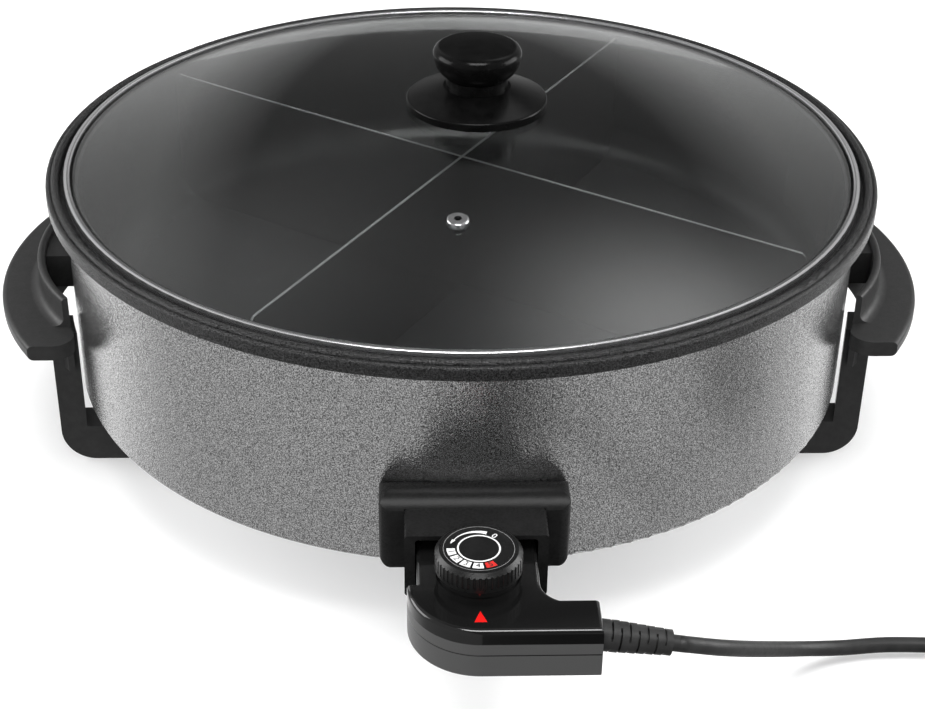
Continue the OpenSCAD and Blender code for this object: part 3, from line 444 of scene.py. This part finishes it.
def relief(tree, shader, height, depth):
    """Raises the surface by a pattern, up to a depth in metres."""
    bump = tree.nodes.new("ShaderNodeBump")
    bump.inputs["Strength"].default_value = 1.0
    bump.inputs["Distance"].default_value = depth
    tree.links.new(height, bump.inputs["Height"])
    tree.links.new(bump.outputs["Normal"], shader.inputs["Normal"])


def from_axis(tree, place):
    """The distance from the pan's axis, and the height above the table."""
    parts = tree.nodes.new("ShaderNodeSeparateXYZ")
    tree.links.new(place, parts.inputs["Vector"])
    flat = tree.nodes.new("ShaderNodeCombineXYZ")
    tree.links.new(parts.outputs["X"], flat.inputs["X"])
    tree.links.new(parts.outputs["Y"], flat.inputs["Y"])
    length = tree.nodes.new("ShaderNodeVectorMath")
    length.operation = "LENGTH"
    tree.links.new(flat.outputs["Vector"], length.inputs[0])
    return length.outputs["Value"], parts.outputs["Z"]


def plain_finish(name, dark, light, low_gloss, high_gloss, grains, depth=0.0, metallic=0.0, coat=0.0,
                 specular=0.5):
    """A moulded, cast or drawn surface: coarse noise mottles its colour from dark to light, a finer one its
    roughness from low_gloss to high_gloss, and the finest gives it a skin of that depth in metres."""
    finish, tree, shader, place = start_finish(name, light, high_gloss, metallic, specular, coat)
    mottle = between(tree, grain(tree, place, grains / 8), *NOISE)
    colour_by(tree, shader, mottle, dark, light)
    tree.links.new(between(tree, grain(tree, place, grains / 3), *NOISE, low_gloss, high_gloss),
                   shader.inputs["Roughness"])
    if depth:
        relief(tree, shader, grain(tree, place, grains), depth)
    return finish


# %% [markdown]
# The shell is sheet steel in hammered paint: a metallic grey whose skin shrinks into small round dimples as
# it dries. Dimples are cells, so a cell pattern gives the relief, with a finer noise for the flakes in the
# paint.

# %% Hammered shell paint
DIMPLES_PER_METRE = 1100.0
FLAKES_PER_METRE = 1900.0
DIMPLE_DEPTH = 0.00008
shell_paint, tree, shader, place = start_finish("hammered_paint", (0.4, 0.4, 0.4), 0.22, metallic=0.92)
cells = tree.nodes.new("ShaderNodeTexVoronoi")
cells.feature = "SMOOTH_F1"
cells.inputs["Scale"].default_value = DIMPLES_PER_METRE
tree.links.new(place, cells.inputs["Vector"])
flakes = grain(tree, place, FLAKES_PER_METRE, 2.0)
colour_by(tree, shader, between(tree, flakes, 0.37, 0.63), (0.1, 0.1, 0.101), (0.78, 0.78, 0.782))
tree.links.new(between(tree, flakes, *NOISE, 0.15, 0.23), shader.inputs["Roughness"])
relief(tree, shader, reckon(tree, "ADD", cells.outputs["Distance"], flakes), DIMPLE_DEPTH)
print("made:", shell_paint.name)

# %% [markdown]
# The pan is pressed aluminium with a dark non-stick coat. Inside it is smooth and half glossy, and its rim
# is sprayed with a sandy coat, which is black with paler grains. One material carries both: the distance
# from the axis says where the rim begins, and one shade between the two colours stands for the inside.

# %% Non-stick coat
INSIDE_SHADE = 0.56
RIM_START = 0.1965
RIM_FULL = 0.1985
SAND_DEPTH = 0.00025
SKIN_DEPTH = 0.000006
pan_coat, tree, shader, place = start_finish("nonstick_coat", (0.03, 0.03, 0.031), 0.4, specular=0.3)
rim = between(tree, from_axis(tree, place)[0], RIM_START, RIM_FULL)
sand_grains = between(tree, grain(tree, place, 1400.0), 0.42, 0.68)
fine = grain(tree, place, 5200.0, 2.0)
on_rim = reckon(tree, "MULTIPLY", reckon(tree, "SUBTRACT", sand_grains, INSIDE_SHADE), rim)
shade = reckon(tree, "ADD", on_rim, INSIDE_SHADE)
colour_by(tree, shader, shade, (0.004, 0.004, 0.004), (0.043, 0.043, 0.044))
tree.links.new(between(tree, fine, *NOISE, 0.24, 0.3), shader.inputs["Roughness"])
sanded = reckon(tree, "MULTIPLY", reckon(tree, "MULTIPLY", sand_grains, rim), SAND_DEPTH)
relief(tree, shader, reckon(tree, "MULTIPLY_ADD", fine, SKIN_DEPTH, sanded), 1.0)
print("made:", pan_coat.name)

# %% [markdown]
# The lid is a dome of clear tempered glass in a turned steel ring. Real glass bends light twice, at its
# upper and lower faces, and the solid has both, so a clear transmitting shader is all it needs. The ring is
# turned on a lathe, so its fine lines run round the axis: noise over distance and height alone makes such
# lines. The ring's top is rolled, which a height that falls off with the square of the distance from its
# middle draws.

# %% Glass and turned steel
lid_clear, tree, shader, place = start_finish("tempered_glass", (0.93, 0.95, 0.945), 0.02)
shader.inputs["Transmission Weight"].default_value = 1.0
shader.inputs["IOR"].default_value = 1.46
tree.links.new(between(tree, grain(tree, place, 30.0), *NOISE, 0.0, 0.035), shader.inputs["Roughness"])

RING_MIDDLE = 0.199
ROLL_RADIUS = 0.0012
LINE_DEPTH = 0.00002
turned_steel, tree, shader, place = start_finish("turned_steel", (0.72, 0.72, 0.73), 0.22, metallic=0.9)
reach, height = from_axis(tree, place)
lathe = tree.nodes.new("ShaderNodeCombineXYZ")
tree.links.new(reach, lathe.inputs["X"])
tree.links.new(height, lathe.inputs["Z"])
lines = grain(tree, lathe.outputs["Vector"], 9000.0, 2.0)
colour_by(tree, shader, between(tree, lines, *NOISE), (0.7, 0.7, 0.71), (0.86, 0.86, 0.87))
tree.links.new(between(tree, lines, *NOISE, 0.2, 0.32), shader.inputs["Roughness"])
off_middle = reckon(tree, "SUBTRACT", reach, RING_MIDDLE)
rolled_top = reckon(tree, "MULTIPLY", reckon(tree, "POWER", off_middle, 2.0), -0.5 / ROLL_RADIUS)
relief(tree, shader, reckon(tree, "MULTIPLY_ADD", lines, LINE_DEPTH, rolled_top), 1.0)
print("made:", lid_clear.name, turned_steel.name)

# %% [markdown]
# The divider's two plates are cut from rolled sheet with a thin dark coat, so their faces are dim mirrors
# that repeat the pan's curved corner. Their top edge is painted paler and less metallic, a painted highlight
# that makes each plate read as one thin bright line. Height picks out the edge, and a noise stretched along
# the plates stands for the marks of the rollers.

# %% Divider sheet
EDGE_START = 0.1425
EDGE_FULL = 0.1428
COATED_METAL = 0.94
HIGHLIGHT_EDGE_METAL = 0.55
divider_sheet, tree, shader, place = start_finish("divider_sheet", (0.5, 0.5, 0.5), 0.2, metallic=COATED_METAL)
painted_highlight_edge = between(tree, from_axis(tree, place)[1], EDGE_START, EDGE_FULL)
rolled = tree.nodes.new("ShaderNodeMapping")
rolled.inputs["Scale"].default_value = (0.1, 0.1, 1.0)
tree.links.new(place, rolled.inputs["Vector"])
scuffs = between(tree, grain(tree, rolled.outputs["Vector"], 1800.0), *NOISE)
# Painted highlight: the top edge is coloured paler, and below it made less metallic, so that it reads as a bright
# line.
painted_edge_highlight = reckon(tree, "MULTIPLY", painted_highlight_edge, between(tree, grain(tree, place, 900.0), *NOISE, 0.7, 1.0))
shade = reckon(tree, "ADD", reckon(tree, "MULTIPLY", scuffs, 0.08), painted_edge_highlight)
colour_by(tree, shader, shade, (0.42, 0.42, 0.422), (0.72, 0.72, 0.72))
tree.links.new(between(tree, scuffs, 0.0, 1.0, 0.13, 0.22), shader.inputs["Roughness"])
tree.links.new(between(tree, painted_highlight_edge, 0.0, 1.0, COATED_METAL, HIGHLIGHT_EDGE_METAL), shader.inputs["Metallic"])
print("made:", divider_sheet.name)

# %% [markdown]
# The controller's case is one plastic with two textures: its top and a band below the top edge are polished
# black, and its sides are satin. The sides' grey is painted light: the glow of the white table, which a side
# that faces it catches. The way a face points and its height tell them apart. A dark line at the height of
# the pins is the seam of the two halves.

# %% Controller case
SEAM_HEIGHT = 0.0615
SEAM_HALF = 0.0002
BAND_HEIGHT = 0.0672
case_black, tree, shader, place = start_finish("case_black", (0.012, 0.012, 0.012), 0.2)
facing = tree.nodes.new("ShaderNodeSeparateXYZ")
tree.links.new(tree.nodes.new("ShaderNodeNewGeometry").outputs["Normal"], facing.inputs["Vector"])
sideways = between(tree, facing.outputs["Z"], 0.15, 0.5, 1.0, 0.0)
height = from_axis(tree, place)[1]
below_band = between(tree, height, BAND_HEIGHT - SEAM_HALF, BAND_HEIGHT, 1.0, 0.0)
off_seam = reckon(tree, "ABSOLUTE", reckon(tree, "SUBTRACT", height, SEAM_HEIGHT))
beside_seam = between(tree, off_seam, SEAM_HALF, 2 * SEAM_HALF, 0.1, 1.0)
satin_and_painted_sheen = reckon(tree, "MULTIPLY", sideways, reckon(tree, "MULTIPLY", below_band, beside_seam))
# Painted reflection: faces that point sideways are coloured grey for the table's glow; their higher roughness is
# the real satin.
colour_by(tree, shader, satin_and_painted_sheen, (0.006, 0.006, 0.006), (0.068, 0.068, 0.068))
skin = grain(tree, place, 2600.0)
polish = between(tree, skin, *NOISE, 0.1, 0.16)
tree.links.new(reckon(tree, "MULTIPLY_ADD", satin_and_painted_sheen, 0.3, polish), shader.inputs["Roughness"])
relief(tree, shader, reckon(tree, "MULTIPLY", skin, satin_and_painted_sheen), 0.00005)
print("made:", case_black.name)

# %% [markdown]
# The other finishes differ only in numbers: black mouldings with a spark-eroded skin, the glossy dial face,
# rubber, ink, and the metals and ceramic inside. One function makes them all, so the numbers can be
# compared side by side.

# %% Mouldings, rubber and metals
satin_black = plain_finish("satin_black", (0.023, 0.023, 0.023), (0.03, 0.03, 0.03), 0.34, 0.44, 2600, 0.00005,
                           specular=0.2)
guard_black = plain_finish("guard_black", (0.01, 0.01, 0.01), (0.014, 0.014, 0.014), 0.24, 0.32, 2200, 0.00003,
                           specular=0.07)
grip_black = plain_finish("grip_black", (0.004, 0.004, 0.004), (0.007, 0.007, 0.007), 0.26, 0.34, 2000, 0.00003,
                          specular=0.35)
gloss_black = plain_finish("gloss_black", (0.008, 0.008, 0.008), (0.012, 0.012, 0.012), 0.12, 0.2, 900, 0.00001)
knob_black = plain_finish("knob_black", (0.002, 0.002, 0.002), (0.004, 0.004, 0.004), 0.16, 0.24, 1500, 0.00001,
                          specular=0.1)
cord_black = plain_finish("cord_black", (0.014, 0.014, 0.014), (0.024, 0.024, 0.024), 0.38, 0.5, 1600, 0.00004,
                          specular=0.3)
soft_black = plain_finish("soft_black", (0.018, 0.018, 0.018), (0.03, 0.03, 0.03), 0.6, 0.75, 1800, 0.00008)
white_ink = plain_finish("white_ink", (0.74, 0.74, 0.74), (0.82, 0.82, 0.82), 0.4, 0.5, 3000)
black_ink = plain_finish("black_ink", (0.01, 0.01, 0.01), (0.02, 0.02, 0.02), 0.4, 0.5, 3000)
red_ink = plain_finish("red_ink", (0.5, 0.012, 0.01), (0.62, 0.02, 0.015), 0.35, 0.45, 3000)
grey_ink = plain_finish("grey_ink", (0.2, 0.2, 0.2), (0.26, 0.26, 0.26), 0.4, 0.5, 3000)
lens_red = plain_finish("lens_red", (0.62, 0.008, 0.008), (0.75, 0.015, 0.012), 0.1, 0.16, 800, 0.00001, coat=0.5)
zinc_sheet = plain_finish("zinc_sheet", (0.42, 0.42, 0.43), (0.58, 0.58, 0.59), 0.3, 0.45, 500, 0.00002, 1.0)
bright_steel = plain_finish("bright_steel", (0.62, 0.62, 0.63), (0.74, 0.74, 0.75), 0.14, 0.24, 900, 0.00001, 1.0)
dull_steel = plain_finish("dull_steel", (0.16, 0.15, 0.15), (0.34, 0.31, 0.29), 0.4, 0.55, 300, 0.00004, 0.9)
pin_brass = plain_finish("pin_brass", (0.66, 0.5, 0.22), (0.8, 0.64, 0.32), 0.2, 0.32, 900, 0.00001, 1.0)
cast_aluminium = plain_finish("cast_aluminium", (0.56, 0.56, 0.57), (0.72, 0.72, 0.73), 0.32, 0.46, 700, 0.00004,
                              1.0)
white_ceramic = plain_finish("white_ceramic", (0.74, 0.72, 0.67), (0.84, 0.82, 0.77), 0.5, 0.65, 1200, 0.00004)
print("finishes:", len(bpy.data.materials))

# %% Dress the solids
DRESS = (
    (pan_coat, ["cooking_pan"]),
    (shell_paint, ["outer_shell"]),
    (lid_clear, ["lid_glass"]),
    (turned_steel, ["lid_ring"]),
    (bright_steel, ["vent_eyelet", "knob_washer", "knob_screw", "temperature_probe"]),
    (divider_sheet, ["divider_first", "divider_second"]),
    (satin_black, ["handle_left", "handle_right"]),
    (guard_black, ["socket_guard", "socket_shroud"]),
    (grip_black, ["dial_grip"]),
    (knob_black, ["lid_knob", "knob_disc"]),
    (gloss_black, ["dial_face"]),
    (case_black, ["controller_cover", "controller_base"]),
    (cord_black, ["strain_relief", "plug_body"]),
    (soft_black, ["knob_seal"]),
    (lens_red, ["pilot_lens"]),
    (zinc_sheet, ["base_plate", "base_screws", "guard_screws", "handle_screws", "controller_screws",
                  "dial_spindle"]),
    (dull_steel, ["heating_element"]),
    (pin_brass, ["contact_pins", "contact_sleeves", "plug_pins"]),
    (cast_aluminium, ["probe_sleeve"]),
    (white_ceramic, ["terminal_block", "thermostat_unit"]))
NEW_PIECES = (
    (cord_black, supply_cord), (soft_black, coil_strap), (white_ink, dial_marks), (black_ink, dial_numbers),
    (red_ink, hot_field), (grey_ink, edge_line))

for finish, names in DRESS:
    for name in names:
        solids[name].material_slots[0].material = finish
for finish, piece in NEW_PIECES:
    piece.data.materials.append(finish)
dressed = sum(len(names) for finish, names in DRESS)
print("dressed solids:", dressed, "new pieces:", len(NEW_PIECES))

# %% [markdown]
# The pan was photographed on white, with soft boxes around it: the shell is bright at its flanks and dark
# in front. A pale floor would light the front of the shell from below, so the floor is shown to the camera
# and takes shadows, but throws no light back. A glow that grows with the distance from the pan keeps it
# white, and lets shadows show near it.

# %% Lay the floor
FLOOR_HALF = 30.0
GLOW_STARTS = 0.3
GLOW_FULL = 0.9
NEAR_GLOW = 0.25
FAR_GLOW = 0.62
corners = FLOOR_HALF * np.array([[-1, -1, 0], [1, -1, 0], [1, 1, 0], [-1, 1, 0]])
floor_mesh = bpy.data.meshes.new("floor")
floor_mesh.from_pydata(corners.tolist(), [], [[0, 1, 2, 3]])
floor = bpy.data.objects.new("floor", floor_mesh)
bpy.context.scene.collection.objects.link(floor)
floor.visible_diffuse = False
floor.visible_glossy = False
floor.visible_shadow = False
floor_paper, tree, shader, place = start_finish("floor_paper", (0.8, 0.8, 0.8), 0.9, specular=0.0)
shader.inputs["Emission Color"].default_value = (1.0, 1.0, 1.0, 1.0)
floor_glow = between(tree, from_axis(tree, place)[0], GLOW_STARTS, GLOW_FULL, NEAR_GLOW, FAR_GLOW)
tree.links.new(floor_glow, shader.inputs["Emission Strength"])
floor_mesh.materials.append(floor_paper)
print("floor side:", 2 * FLOOR_HALF)

# %% [markdown]
# Two boxes light the flanks, one overhead lights the pan through the glass, and one in front fills the dark
# mouldings. A panel above the front gives highlights only: the bright line on the lid's ring and on the
# case's edge. The overhead box and the front one give metal and plastic no highlights. Every lamp but the
# overhead one is kept off the glass, where it would show as a white patch, and the side boxes are kept off
# the ring.


# %% Hang the lamps
def soft_box(name, place, aim, width, height, power):
    """A rectangular lamp at a place, turned to face a point."""
    lamp_data = bpy.data.lights.new(name, "AREA")
    lamp_data.shape = "RECTANGLE"
    lamp_data.size = width
    lamp_data.size_y = height
    lamp_data.energy = power
    lamp = bpy.data.objects.new(name, lamp_data)
    bpy.context.scene.collection.objects.link(lamp)
    lamp.location = place
    lamp.rotation_mode = "QUATERNION"
    lamp.rotation_quaternion = (Vector(aim) - Vector(place)).to_track_quat("-Z", "Y")
    return lamp


PAN_MIDDLE = (0.0, 0.0, 0.1)
left_box = soft_box("left_box", (-1.3, 0.1, 0.5), PAN_MIDDLE, 1.0, 0.8, 14.0)
right_box = soft_box("right_box", (1.3, 0.1, 0.5), PAN_MIDDLE, 1.0, 0.8, 14.0)
overhead = soft_box("overhead_box", (0.0, -0.2, 1.6), PAN_MIDDLE, 1.4, 1.1, 24.0)
overhead.visible_glossy = False
front_fill = soft_box("front_fill", (0.0, -1.7, 0.6), PAN_MIDDLE, 1.6, 0.8, 18.0)
front_fill.visible_glossy = False
gloss_panel = soft_box("gloss_panel", (0.0, -0.8, 1.6), PAN_MIDDLE, 0.9, 0.7, 27.5)
gloss_panel.visible_diffuse = False
gloss_panel.visible_transmission = False


def keep_off(lamp, names):
    """Lets a lamp shine on every mesh but the named pieces."""
    lit = bpy.data.collections.new(lamp.name + "_lights")
    for thing in bpy.context.scene.objects:
        if thing.type == "MESH" and thing not in [solids[name] for name in names]:
            lit.objects.link(thing)
    lamp.light_linking.receiver_collection = lit


for lamp in (left_box, right_box):
    keep_off(lamp, ["lid_glass", "lid_ring"])
for lamp in (front_fill, gloss_panel):
    keep_off(lamp, ["lid_glass"])

# %% [markdown]
# The room itself does the rest. Low down it is bright all round but for one dark strip in front, which the
# upright shell mirrors as the dark stripe down its middle. At eye height and above it is dim, brighter to
# the left and right, because the glass lies flat and mirrors that part as a veil over the pan. Two soft
# glows, high behind the pan, lay a pale sheen on the right of the glass and a fainter one on the left.

# %% Light the room
world = bpy.data.worlds.new("studio")
world.use_nodes = True
tree = world.node_tree
outlook = tree.nodes.new("ShaderNodeTexCoord").outputs["Generated"]
sky = tree.nodes.new("ShaderNodeSeparateXYZ")
tree.links.new(outlook, sky.inputs["Vector"])


def far_glow(direction, tightness, strength):
    """A soft glow far off in one direction: the cosine of the angle from it, raised to a power."""
    along = tree.nodes.new("ShaderNodeVectorMath")
    along.operation = "DOT_PRODUCT"
    along.inputs[1].default_value = Vector(direction).normalized()
    tree.links.new(outlook, along.inputs[0])
    cosine = reckon(tree, "MAXIMUM", along.outputs["Value"], 0.0)
    return reckon(tree, "MULTIPLY", reckon(tree, "POWER", cosine, tightness), strength)


STRIP_MIDDLE = 0.155
STRIP_EDGE = (0.11, 0.16)
STRIP_END = (-0.35, 0.1)
LOW_SIDE = 0.56
LOW_BACK = 1.1
VEIL_DIM = 0.085
VEIL_LEFT = 0.46
VEIL_RIGHT = 0.42
HORIZON = (-0.4, -0.18)
BACK_TILT = -0.06
BACK_RISE = (0.12, 0.87)
DIP = (-0.62, -0.45)
DIP_SHARE = (0.74, 1.04)
LEFT_TILT = -0.35
LEFT_RISE = (0.045, 0.17)
RIGHT_TILT = -0.5
RIGHT_RISE = (0.05, 0.2)
SHEENS = (((0.33, 0.47, 0.82), 45.0, 2.2), ((-0.32, 0.6, 0.73), 30.0, 0.38))

side, back, up = (sky.outputs[axis] for axis in "XYZ")
beside_strip = reckon(tree, "ABSOLUTE", reckon(tree, "SUBTRACT", side, STRIP_MIDDLE))
off_strip = reckon(tree, "MAXIMUM", between(tree, beside_strip, *STRIP_EDGE), between(tree, back, *STRIP_END))
backward = reckon(tree, "MULTIPLY_ADD", side, BACK_TILT, back)
low_glow = reckon(tree, "MULTIPLY_ADD", off_strip, LOW_SIDE, between(tree, backward, *BACK_RISE, 0.0, LOW_BACK))
low_glow = reckon(tree, "MULTIPLY", low_glow, between(tree, up, *DIP, *DIP_SHARE))
leftward = reckon(tree, "MULTIPLY_ADD", up, LEFT_TILT, reckon(tree, "MULTIPLY", side, -1.0))
rightward = reckon(tree, "MULTIPLY_ADD", up, RIGHT_TILT, side)
high_glow = reckon(tree, "MAXIMUM", between(tree, leftward, *LEFT_RISE, VEIL_DIM, VEIL_LEFT),
                   between(tree, rightward, *RIGHT_RISE, VEIL_DIM, VEIL_RIGHT))
above = between(tree, up, *HORIZON)
glow = reckon(tree, "ADD", reckon(tree, "MULTIPLY", high_glow, above),
              reckon(tree, "MULTIPLY", low_glow, reckon(tree, "SUBTRACT", 1.0, above)))
for direction, tightness, strength in SHEENS:
    glow = reckon(tree, "ADD", glow, far_glow(direction, tightness, strength))
tree.nodes["Background"].inputs["Color"].default_value = (1.0, 1.0, 1.0, 1.0)
tree.links.new(glow, tree.nodes["Background"].inputs["Strength"])
bpy.context.scene.world = world
bpy.context.scene.view_settings.view_transform = "Standard"
print("sky steps:", len(tree.nodes))
